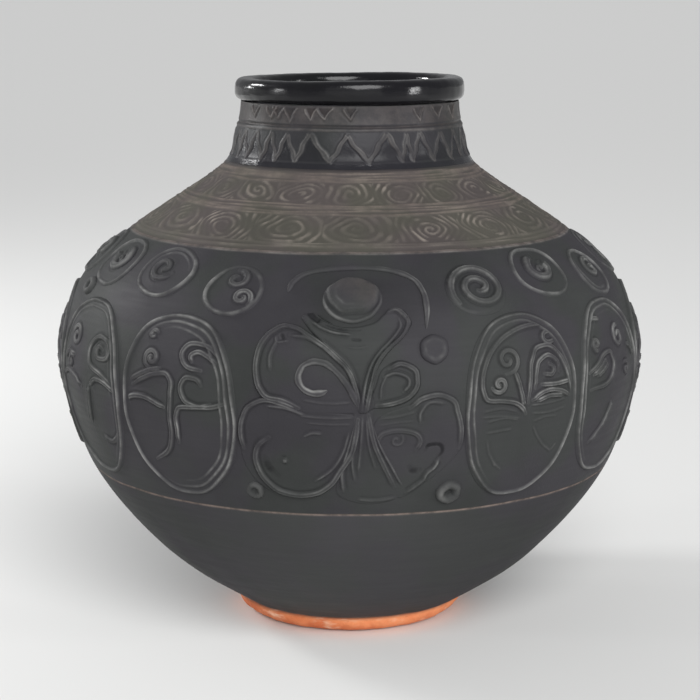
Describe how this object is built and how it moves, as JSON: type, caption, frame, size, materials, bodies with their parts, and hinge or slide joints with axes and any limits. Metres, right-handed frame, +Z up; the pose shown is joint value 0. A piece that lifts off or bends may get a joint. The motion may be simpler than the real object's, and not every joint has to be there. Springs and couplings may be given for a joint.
{
  "type": "clay pot",
  "caption": "Round-bellied black clay jar with a narrow neck, rolled rim, flat foot and a band of applied relief medallions.",
  "frame": {"origin": "centre of the flat face that the pot rests on, on the axis the pot is turned about", "axes": "+Z up along the pot's axis, through the mouth; -Y towards the relief figure on the front; +X to the right of that figure as seen from the front"},
  "size_m": [0.2806, 0.2827, 0.2574],
  "materials": {
    "satin_black_clay": "satin, smoke-blackened and lightly polished",
    "burnished_black_clay": "burnished to a gloss",
    "matte_grey_clay": "matte, brownish grey, incised",
    "bare_terracotta": "matte, unblackened clay"
  },
  "bodies": {
    "root": {"belly_wall": "satin_black_clay", "figure_arch": "satin_black_clay", "figure_cup": "satin_black_clay", "figure_curl": "satin_black_clay", "figure_disc": "satin_black_clay", "figure_knob": "satin_black_clay", "figure_leaf": "satin_black_clay", "figure_lower_wing": "satin_black_clay", "figure_ring_left": "satin_black_clay", "figure_ring_right": "satin_black_clay", "figure_skirt": "satin_black_clay", "figure_tail_wing": "satin_black_clay", "figure_upper_wing": "satin_black_clay", "foot": "bare_terracotta", "lower_bowl": "satin_black_clay", "medallion_01": "satin_black_clay", "medallion_02": "satin_black_clay", "medallion_03": "satin_black_clay", "medallion_04": "satin_black_clay", "medallion_05": "satin_black_clay", "medallion_06": "satin_black_clay", "medallion_07": "satin_black_clay", "medallion_08": "satin_black_clay", "medallion_09": "satin_black_clay", "medallion_10": "satin_black_clay", "medallion_11": "satin_black_clay", "medallion_12": "satin_black_clay", "neck_collar": "satin_black_clay", "rolled_rim": "burnished_black_clay", "roundel_01": "satin_black_clay", "roundel_02": "satin_black_clay", "roundel_03": "satin_black_clay", "roundel_04": "satin_black_clay", "roundel_05": "satin_black_clay", "roundel_06": "satin_black_clay", "roundel_07": "satin_black_clay", "roundel_08": "satin_black_clay", "roundel_09": "satin_black_clay", "roundel_10": "satin_black_clay", "roundel_11": "satin_black_clay", "roundel_12": "satin_black_clay", "roundel_13": "satin_black_clay", "roundel_14": "satin_black_clay", "roundel_15": "satin_black_clay", "roundel_16": "satin_black_clay", "roundel_17": "satin_black_clay", "shoulder_wall": "matte_grey_clay", "small_button": "satin_black_clay"}
  },
  "joints": []
}
